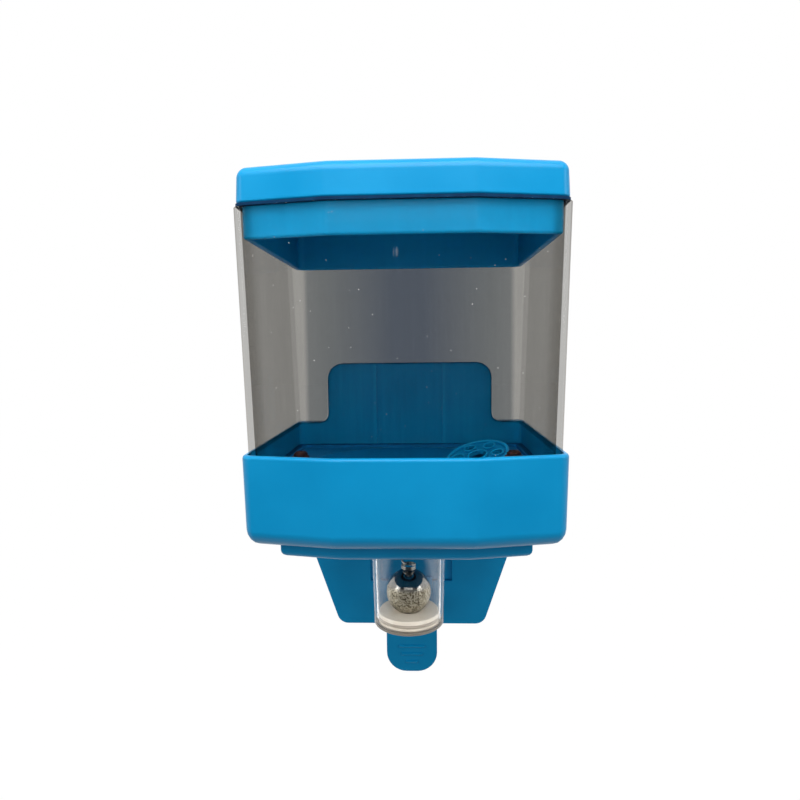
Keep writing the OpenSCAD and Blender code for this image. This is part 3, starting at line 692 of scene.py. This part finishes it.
web = add(tree, "GeometryNodeMergeByDistance", {0: web.outputs[0]}, {"Distance": 1e-6})
parts = [web.outputs[0]]
for way, wall in ((rim_way, "Rim wall"), (holes, "Collar wall"), (centre_way, "Collar wall")):
    section = add(
        tree, "GeometryNodeCurvePrimitiveQuadrilateral", {"Width": size[wall], "Height": size["Rim"]}
    )
    softened = add(
        tree,
        "GeometryNodeFilletCurve",
        {0: section.outputs[0]},
        {"Radius": SOFT_R / 1000, "Count": 4},
        mode="POLY",
    )
    swept = add(
        tree, "GeometryNodeCurveToMesh", {"Curve": way.outputs[0], "Profile Curve": softened.outputs[0]}
    )
    lift = add(tree, "ShaderNodeMath", {0: size["Rim"]}, {1: 0.5}, operation="MULTIPLY")
    up = add(tree, "ShaderNodeCombineXYZ", {"Z": lift.outputs[0]})
    parts.append(
        add(
            tree, "GeometryNodeTransform", {"Geometry": swept.outputs[0], "Translation": up.outputs[0]}
        ).outputs[0]
    )
disc = add(tree, "GeometryNodeJoinGeometry")
for part in parts:
    tree.links.new(part, disc.inputs[0])
centred = add(
    tree,
    "GeometryNodeTransform",
    {"Geometry": disc.outputs[0]},
    {"Translation": (0, 0, -STRAINER_RIM / 2000)},
)
laid = add(
    tree,
    "GeometryNodeTransform",
    {"Geometry": centred.outputs[0]},
    {
        "Translation": [c / 1000 for c in strainer_mid],
        "Rotation": (0, -STRAINER_TILT, STRAINER_TURN),
    },
)
strainer = grown("strainer_disc", tree, laid.outputs[0], strainer_sizes)
dress(strainer, blue_plastic, "pot", "blue_plastic", "strainer")
disc_axis = Euler((0, -STRAINER_TILT, STRAINER_TURN)).to_matrix().col[2]
# The web takes the darker blue: oil, and painted shade between the raised rim and rings.
oil_and_shade = strainer.data.attributes.new("oil_and_shade", "FLOAT", "FACE")
for face in strainer.data.polygons:
    above_web = (face.center * 1000 - strainer_mid).dot(disc_axis) - STRAINER_WEB + STRAINER_RIM / 2
    oil_and_shade.data[face.index].value = WEB_OIL_SHADE if above_web < WEB_SKIN else 0.0

# Sight tube
# A clear polystyrene tube with a drafted wall, hanging in the cover by its flange. A lip at its foot
# carries the seat.

COVER_Z = ends("bottom_cover")[0].z
FOOT_Z, TUBE_TOP = ends("sight_tube")[0].z, ends("sight_tube")[1].z
SEAT_Z, SEAT_TOP = ends("valve_seat")[0].z, ends("valve_seat")[1].z
FLANGE_R, FLANGE_T = ends("sight_tube")[1].x, 2.6
TUBE_R, TUBE_WALL, TUBE_LIP = 16.8, 2.0, 1.6
TUBE_DRAFT = math.tan(math.radians(1.5))


def tube_at(z):
    """Outer radius of the tube at a height."""
    return TUBE_R - (COVER_Z - z) * TUBE_DRAFT


def turned(name, corners, steps=144):
    """Piece turned about the pot's axis from a profile of radius, height, rounding and steps."""
    profile = bent(corners)
    rings = []
    for a in [2 * math.pi * i / steps for i in range(steps)]:
        rings.append([(r * math.cos(a), AXIS_Y + r * math.sin(a), z) for r, z in profile])
    return skin(name, rings, closed=True)


# Clear polystyrene: almost free of colour, with the mould's gloss and a slow ripple. Oil has
# stained the foot to the seat's milky beige.
clear_plastic, tree = new_material("clear_polystyrene")
place = add(tree, "ShaderNodeTexCoord").outputs["Object"]
TUBE_RIPPLE, FOOT_FADE = 0.007, 0.0006
ripple = add(
    tree, "ShaderNodeTexNoise", {"Vector": place}, {"Scale": 1 / TUBE_RIPPLE, "Detail": 0.0}
).outputs["Fac"]
rippled = add(tree, "ShaderNodeBump", {"Height": ripple}, {"Strength": 0.03, "Distance": 0.0003})
height = add(tree, "ShaderNodeSeparateXYZ", {0: place}).outputs["Z"]
foot = add(
    tree,
    "ShaderNodeMapRange",
    {"Value": height},
    {"From Min": SEAT_Z / 1000 + FOOT_FADE, "From Max": SEAT_Z / 1000},
).outputs[0]
frosted = add(tree, "ShaderNodeMapRange", {"Value": foot}, {"To Min": 0.015, "To Max": 0.45})
milky = add(tree, "ShaderNodeMapRange", {"Value": foot}, {"To Min": 1.0, "To Max": 0.3})
shader = add(
    tree,
    "ShaderNodeBsdfPrincipled",
    {
        "Base Color": tones(tree, foot, (0.0, "#f2f2f1"), (1.0, "#aea394")),
        "Transmission Weight": milky.outputs["Result"],
        "Roughness": frosted.outputs["Result"],
        "Normal": rippled.outputs["Normal"],
    },
    {"IOR": 1.1, "Coat Weight": 0.75, "Coat Roughness": 0.02, "Coat IOR": 1.5},
)
lamp_way = add(tree, "ShaderNodeBsdfTransparent", None, {"Color": linear("#fcfcfb")})
path = add(tree, "ShaderNodeLightPath")
mixed = add(
    tree,
    "ShaderNodeMixShader",
    {0: path.outputs["Is Shadow Ray"], 1: shader.outputs["BSDF"], 2: lamp_way.outputs["BSDF"]},
)
add(tree, "ShaderNodeOutputMaterial", {"Surface": mixed.outputs["Shader"]})

foot_in = tube_at(FOOT_Z) - TUBE_WALL - TUBE_LIP
tube = turned(
    "clear_sight_tube",
    [
        (foot_in, FOOT_Z, 0.5, 4),
        (tube_at(FOOT_Z), FOOT_Z, 1.0, 8),
        (TUBE_R, COVER_Z, 0, 0),
        (TUBE_R, TUBE_TOP - FLANGE_T, 0, 0),
        (FLANGE_R, TUBE_TOP - FLANGE_T, 0.3, 3),
        (FLANGE_R, TUBE_TOP, 0.3, 3),
        (TUBE_R - TUBE_WALL, TUBE_TOP, 0.3, 3),
        (TUBE_R - TUBE_WALL, COVER_Z, 0, 0),
        (tube_at(SEAT_Z) - TUBE_WALL, SEAT_Z, 0.3, 3),
        (foot_in, SEAT_Z, 0.3, 3),
    ],
)
dress(tube, clear_plastic, "pot", "clear_plastic", "sight_tube")

finish_node("tube_gasket", black_rubber)

# Valve seat and its ring
# A white nylon disc turned with a conical cup for the ball and a groove for a grey rubber ring. It
# stands on the lip at the foot of the tube.

SEAT_R = ends("valve_seat")[1].x
CUP_ANGLE, CUP_LIP, SEAT_HOLE_R, RING_GAP = math.radians(62), 0.8, 2.6, 0.05
BALL_R = (ends("valve_ball")[1].z - ends("valve_ball")[0].z) / 2
CUP_R = BALL_R * math.cos(CUP_ANGLE) + CUP_LIP
RING_R = (ends("seat_ring")[1].z - ends("seat_ring")[0].z) / 2
GROOVE_Z = (ends("seat_ring")[1].z + ends("seat_ring")[0].z) / 2
GROOVE_R = ends("seat_ring")[1].x - 2 * RING_R - RING_GAP
cup_foot = SEAT_TOP - (CUP_R - SEAT_HOLE_R) / math.tan(CUP_ANGLE)

# Turned nylon: waxy off-white, yellowed a little by oil, with fine turning lines.
white_plastic, tree = new_material("turned_white_nylon")
place = add(tree, "ShaderNodeTexCoord").outputs["Object"]
STAIN, LATHE_LINE, LATHE_TURN = 0.006, 0.0005, (0.02, 0.02, 1.0)
stain = add(
    tree, "ShaderNodeTexNoise", {"Vector": place}, {"Scale": 1 / STAIN, "Detail": 3.0}
).outputs["Fac"]
around = add(tree, "ShaderNodeMapping", {"Vector": place}, {"Scale": LATHE_TURN}).outputs[0]
lathe_line = add(tree, "ShaderNodeTexNoise", {"Vector": around}, {"Scale": 1 / LATHE_LINE}).outputs["Fac"]
lined = add(tree, "ShaderNodeBump", {"Height": lathe_line}, {"Strength": 0.2, "Distance": 0.0001})
shader = add(
    tree,
    "ShaderNodeBsdfPrincipled",
    {
        "Base Color": tones(tree, stain, (0.3, "#f0e5d5"), (0.7, "#f8f0e3")),
        "Normal": lined.outputs["Normal"],
    },
    {"Roughness": 0.45, "IOR": 1.53},
)
add(tree, "ShaderNodeOutputMaterial", {"Surface": shader.outputs["BSDF"]})
seat = turned(
    "nylon_seat",
    [
        (SEAT_HOLE_R, SEAT_Z, 0.2, 2),
        (SEAT_R, SEAT_Z, 0.3, 3),
        (SEAT_R, GROOVE_Z - RING_R, 0.1, 2),
        (GROOVE_R, GROOVE_Z - RING_R, 0.1, 2),
        (GROOVE_R, GROOVE_Z + RING_R, 0.1, 2),
        (SEAT_R, GROOVE_Z + RING_R, 0.1, 2),
        (SEAT_R, SEAT_TOP, 0.4, 3),
        (CUP_R, SEAT_TOP, 0.2, 2),
        (SEAT_HOLE_R, cup_foot, 0.2, 2),
    ],
)
dress(seat, white_plastic, "pot", "white_plastic", "valve_seat")

# Grey rubber ring: dull, with the nylon's colour close by, so that it shows only as two fine lines.
grey_rubber, tree = new_material("grey_moulded_rubber")
place = add(tree, "ShaderNodeTexCoord").outputs["Object"]
RING_BLOOM = 0.003
bloom = add(
    tree, "ShaderNodeTexNoise", {"Vector": place}, {"Scale": 1 / RING_BLOOM, "Detail": 3.0}
).outputs["Fac"]
shader = add(
    tree,
    "ShaderNodeBsdfPrincipled",
    {"Base Color": tones(tree, bloom, (0.3, "#b0a598"), (0.7, "#beb4a7"))},
    {"Roughness": 0.6, "IOR": 1.52},
)
add(tree, "ShaderNodeOutputMaterial", {"Surface": shader.outputs["BSDF"]})
finish_node("seat_ring", grey_rubber)

# Ball
# A polished bearing-steel ball, 20 mm across. Dried oil has left a brownish, speckled film on it, most of
# all on the lower half, which stands in the oil longest. There the film's beige is also a painted reflection
# of the nylon seat below.

# Polished steel: a sharp mirror where it is clean, browner and duller under the speckled film, whose beige
# also paints the seat's reflection.
ball_mid = (ends("valve_ball")[0] + ends("valve_ball")[1]) / 2000
polished_steel, tree = new_material("polished_bearing_steel")
place = add(tree, "ShaderNodeTexCoord").outputs["Object"]
FILM, FILM_SPOT = 0.0024, 0.0006
FILM_FROM, FILM_FULL = 0.0050, 0.0022
film = add(
    tree,
    "ShaderNodeTexNoise",
    {"Vector": place},
    {"Scale": 1 / FILM, "Detail": 6.0, "Roughness": 0.7},
)
spot = add(
    tree, "ShaderNodeTexNoise", {"Vector": place}, {"Scale": 1 / FILM_SPOT, "Detail": 2.0}
).outputs["Fac"]
speckle = add(tree, "ShaderNodeMath", {0: film.outputs["Fac"], 1: spot}, operation="MULTIPLY").outputs[0]
height = add(tree, "ShaderNodeSeparateXYZ", {0: place}).outputs["Z"]
# The lower half takes the beige film, which also paints the nylon seat's reflection there.
film_and_seat_reflection = add(
    tree,
    "ShaderNodeMapRange",
    {"Value": height},
    {"From Min": ball_mid.z + FILM_FROM, "From Max": ball_mid.z + FILM_FULL},
).outputs[0]
film = tones(tree, speckle, (0.17, "#4f4636"), (0.23, "#9a907b"), (0.31, "#ccc5b1"))
steel = add(
    tree, "ShaderNodeMix", {0: film_and_seat_reflection, 7: film}, {6: linear("#a9a9a8")}, data_type="RGBA"
).outputs[2]
dulled = add(tree, "ShaderNodeMapRange", {"Value": film_and_seat_reflection}, {"To Min": 0.1, "To Max": 0.38})
metal = add(tree, "ShaderNodeMapRange", {"Value": film_and_seat_reflection}, {"To Min": 1.0, "To Max": 0.6})
uneven = add(tree, "ShaderNodeBump", {"Height": speckle}, {"Strength": 0.1, "Distance": 0.0002})
shader = add(
    tree,
    "ShaderNodeBsdfPrincipled",
    {
        "Base Color": steel,
        "Metallic": metal.outputs["Result"],
        "Roughness": dulled.outputs["Result"],
        "Normal": uneven.outputs["Normal"],
    },
)
add(tree, "ShaderNodeOutputMaterial", {"Surface": shader.outputs["BSDF"]})
work = bmesh.new()
bmesh.ops.create_icosphere(work, subdivisions=6, radius=BALL_R / 1000)
bmesh.ops.translate(work, verts=work.verts, vec=ball_mid)
dress(piece_from("steel_ball", work), polished_steel, "ball", "polished_steel", "valve_ball")

# Spring
# A coil of drawn steel wire between the outlet and the ball, which it sets down on the seat. Two turns
# at each end lie closed against each other.

# Drawn wire: bright, with fine streaks along its length that blur its gloss.
drawn_wire, tree = new_material("drawn_spring_wire")
place = add(tree, "ShaderNodeTexCoord").outputs["Object"]
DRAWN = 0.0008
drawn = add(
    tree, "ShaderNodeTexNoise", {"Vector": place}, {"Scale": 1 / DRAWN, "Detail": 3.0}
).outputs["Fac"]
dulled = add(tree, "ShaderNodeMapRange", {"Value": drawn}, {"To Min": 0.2, "To Max": 0.4})
shader = add(
    tree,
    "ShaderNodeBsdfPrincipled",
    {
        "Base Color": tones(tree, drawn, (0.3, "#c4c0b8"), (0.7, "#e2dfd8")),
        "Roughness": dulled.outputs["Result"],
    },
    {"Metallic": 1.0},
)
add(tree, "ShaderNodeOutputMaterial", {"Surface": shader.outputs["BSDF"]})

spring_low, spring_high = ends("valve_spring")
WIRE_R, COIL_TURNS, PUSH_LIFT = 0.4, 11.0, 3.5
CLOSED_TURNS, CLOSED_PITCH = 2.0, 2.1
SPRING_L = spring_high.z - spring_low.z
spring_sizes = {
    "Coil radius": (spring_high.x - spring_low.x) / 2000 - WIRE_R / 1000,
    "Wire radius": WIRE_R / 1000,
    "Turns": COIL_TURNS,
    "Closed turns": CLOSED_TURNS,
    "Closed height": CLOSED_TURNS * CLOSED_PITCH * WIRE_R / 1000,
    "Height": (SPRING_L - 2 * WIRE_R) / 1000,
}
tree, size = new_growth("spring_growth", **spring_sizes)
flat_coil = add(
    tree,
    "GeometryNodeCurveSpiral",
    {"Rotations": size["Turns"], "Start Radius": size["Coil radius"], "End Radius": size["Coil radius"]},
    {"Resolution": 40, "Height": 0.0},
)
along = add(tree, "GeometryNodeSplineParameter").outputs["Factor"]
first = add(
    tree, "ShaderNodeMath", {0: size["Closed turns"], 1: size["Turns"]}, operation="DIVIDE"
).outputs[0]
last = add(tree, "ShaderNodeMath", {1: first}, {0: 1.0}, operation="SUBTRACT").outputs[0]
closed = add(tree, "ShaderNodeMath", {0: size["Closed height"]}, {1: 2.0}, operation="MULTIPLY").outputs[0]
open_height = add(tree, "ShaderNodeMath", {0: size["Height"], 1: closed}, operation="SUBTRACT").outputs[0]
foot_turns = add(
    tree, "ShaderNodeMapRange", {"Value": along, "From Max": first, "To Max": size["Closed height"]}
)
open_turns = add(
    tree,
    "ShaderNodeMapRange",
    {"Value": along, "From Min": first, "From Max": last, "To Max": open_height},
)
top_turns = add(
    tree, "ShaderNodeMapRange", {"Value": along, "From Min": last, "To Max": size["Closed height"]}
)
rise = add(tree, "ShaderNodeMath", {0: foot_turns.outputs[0], 1: open_turns.outputs[0]}, operation="ADD")
rise = add(tree, "ShaderNodeMath", {0: rise.outputs[0], 1: top_turns.outputs[0]}, operation="ADD")
climb = add(tree, "ShaderNodeCombineXYZ", {"Z": rise.outputs[0]})
coil = add(tree, "GeometryNodeSetPosition", {"Geometry": flat_coil.outputs[0], "Offset": climb.outputs[0]})
wire = add(tree, "GeometryNodeCurvePrimitiveCircle", {"Radius": size["Wire radius"]}, {"Resolution": 14})
wound = add(
    tree,
    "GeometryNodeCurveToMesh",
    {"Curve": coil.outputs[0], "Profile Curve": wire.outputs[0]},
    {"Fill Caps": True},
)
placed = add(
    tree,
    "GeometryNodeTransform",
    {"Geometry": wound.outputs[0]},
    {"Translation": (0, AXIS_Y / 1000, (spring_low.z + WIRE_R) / 1000)},
)
spring = grown("coil_spring", tree, placed.outputs[0], spring_sizes)
dress(spring, drawn_wire, "pot", "spring_steel", "valve_spring")
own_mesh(spring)

# Push tab and lift pin
# The blue tab slides in the apron's pocket. Its arm reaches under the tube and carries a steel pin that
# lifts the ball, and three ridges give the finger a grip.

dress(moulding("push_tab", "push_slider", 0.4), blue_plastic, "slider", "blue_plastic", "push_tab")
finish_node("lift_pin", drawn_wire)

# Stage
# A pale floor below the hung pot, a large soft lamp high in front, a weak one below it and one at each
# side, and the camera at the photograph's angle. Floor and backdrop show white in view and straight through
# clear parts. Mirrors show the floor white too, and the backdrop where it is behind or beside the pot.


def in_view(tree):
    """Light path of a shader, and how far its ray comes from the camera, straight or through clear parts."""
    path = add(tree, "ShaderNodeLightPath").outputs
    straight = add(
        tree, "ShaderNodeMath", {0: path["Glossy Depth"]}, {1: 0.5}, operation="LESS_THAN"
    ).outputs[0]
    through = add(
        tree, "ShaderNodeMath", {0: path["Is Transmission Ray"], 1: straight}, operation="MULTIPLY"
    ).outputs[0]
    seen = add(
        tree, "ShaderNodeMath", {0: path["Is Camera Ray"], 1: through}, operation="MAXIMUM"
    ).outputs[0]
    return path, seen


FLOOR_Z, FLOOR_SIZE, FLOOR_FRONT, FLOOR_WHITE = -0.45, 4.0, -0.30, 0.92
floor_paint, tree = new_material("pale_floor")
path, seen = in_view(tree)
seen = add(tree, "ShaderNodeMath", {0: seen, 1: path["Is Glossy Ray"]}, operation="MAXIMUM")
part_seen = add(tree, "ShaderNodeMath", {0: seen.outputs[0]}, {1: FLOOR_WHITE}, operation="MULTIPLY")
matt = add(tree, "ShaderNodeBsdfDiffuse", None, {"Color": linear("#8c8c8c")})
bright = add(tree, "ShaderNodeEmission", None, {"Color": (1, 1, 1, 1), "Strength": 1.08})
mixed = add(
    tree,
    "ShaderNodeMixShader",
    {0: part_seen.outputs[0], 1: matt.outputs["BSDF"], 2: bright.outputs["Emission"]},
)
add(tree, "ShaderNodeOutputMaterial", {"Surface": mixed.outputs["Shader"]})
work = bmesh.new()
bmesh.ops.create_grid(work, x_segments=1, y_segments=1, size=FLOOR_SIZE)
bmesh.ops.translate(work, verts=work.verts, vec=(0, FLOOR_FRONT + FLOOR_SIZE, FLOOR_Z))
floor = piece_from("floor", work)
floor.data.materials.append(floor_paint)

world = bpy.data.worlds.new("studio")
bpy.context.scene.world = world
world.use_nodes = True
tree = world.node_tree
tree.nodes.clear()
path, seen = in_view(tree)
SIDE_SHARE, BEHIND_FROM, BEHIND_FULL = 0.6, -0.1, 0.3
way = add(tree, "ShaderNodeTexCoord").outputs["Generated"]
way = add(tree, "ShaderNodeSeparateXYZ", {0: way})
aside = add(tree, "ShaderNodeMath", {0: way.outputs["X"]}, operation="ABSOLUTE")
around = add(
    tree,
    "ShaderNodeMath",
    {0: aside.outputs[0], 2: way.outputs["Y"]},
    {1: SIDE_SHARE},
    operation="MULTIPLY_ADD",
)
behind = add(
    tree,
    "ShaderNodeMapRange",
    {"Value": around.outputs[0]},
    {"From Min": BEHIND_FROM, "From Max": BEHIND_FULL},
)
mirrored = add(
    tree, "ShaderNodeMath", {0: path["Is Glossy Ray"], 1: behind.outputs[0]}, operation="MULTIPLY"
)
seen = add(tree, "ShaderNodeMath", {0: seen, 1: mirrored.outputs[0]}, operation="MAXIMUM")
dark = add(tree, "ShaderNodeBackground", None, {"Color": (1, 1, 1, 1), "Strength": 0.03})
fill = add(tree, "ShaderNodeBackground", None, {"Color": (1, 1, 1, 1), "Strength": 0.33})
white = add(tree, "ShaderNodeBackground", None, {"Color": (1, 1, 1, 1), "Strength": 1.0})
room = add(
    tree,
    "ShaderNodeMixShader",
    {0: path["Is Diffuse Ray"], 1: dark.outputs["Background"], 2: fill.outputs["Background"]},
)
mixed = add(
    tree,
    "ShaderNodeMixShader",
    {0: seen.outputs[0], 1: room.outputs["Shader"], 2: white.outputs["Background"]},
)
add(tree, "ShaderNodeOutputWorld", {"Surface": mixed.outputs["Shader"]})


def soft_lamp(name, place, target, wide, high, watts):
    """Oblong area lamp aimed at a point."""
    lamp = bpy.data.lights.new(name, "AREA")
    lamp.shape = "RECTANGLE"
    lamp.size = wide
    lamp.size_y = high
    lamp.energy = watts
    holder = bpy.data.objects.new(name, lamp)
    holder.location = place
    holder.rotation_euler = (Vector(target) - Vector(place)).to_track_quat("-Z", "Y").to_euler()
    bpy.context.scene.collection.objects.link(holder)
    return holder


soft_lamp("high_front", (0.0, -0.31, 0.41), (0, -0.06, 0.06), 0.50, 0.30, 2.5)
mid_front = soft_lamp("mid_front", (0.0, -0.50, 0.21), (0, -0.06, -0.05), 0.40, 0.10, 0.17)
mid_front.visible_glossy = False
soft_lamp("left_side", (-0.70, -0.42, 0.24), (0, -0.06, 0.0), 0.30, 0.40, 1.3)
soft_lamp("right_side", (0.70, -0.42, 0.24), (0, -0.06, 0.0), 0.30, 0.40, 1.3)

CAMERA_AT = (0.007303, -0.325047, 0.064318)
YAW, PITCH, ROLL = math.radians(2.206), math.radians(-5.173), math.radians(0.656)
FOCAL_PX, IMAGE_PX = 608.907, 800
ahead = Vector((-math.sin(YAW) * math.cos(PITCH), math.cos(YAW) * math.cos(PITCH), math.sin(PITCH)))
right = Vector((math.cos(YAW), math.sin(YAW), 0))
up = right.cross(ahead)
right, up = (
    math.cos(ROLL) * right - math.sin(ROLL) * up,
    math.sin(ROLL) * right + math.cos(ROLL) * up,
)
view = bpy.data.cameras.new("camera")
view.sensor_fit = "HORIZONTAL"
view.sensor_width = 36.0
view.lens = view.sensor_width * FOCAL_PX / IMAGE_PX
view.clip_start = 0.01
camera = bpy.data.objects.new("camera", view)
camera.matrix_world = Matrix.Translation(CAMERA_AT) @ Matrix((right, up, -ahead)).transposed().to_4x4()
bpy.context.scene.collection.objects.link(camera)
bpy.context.scene.camera = camera
bpy.context.scene.view_settings.view_transform = "Standard"
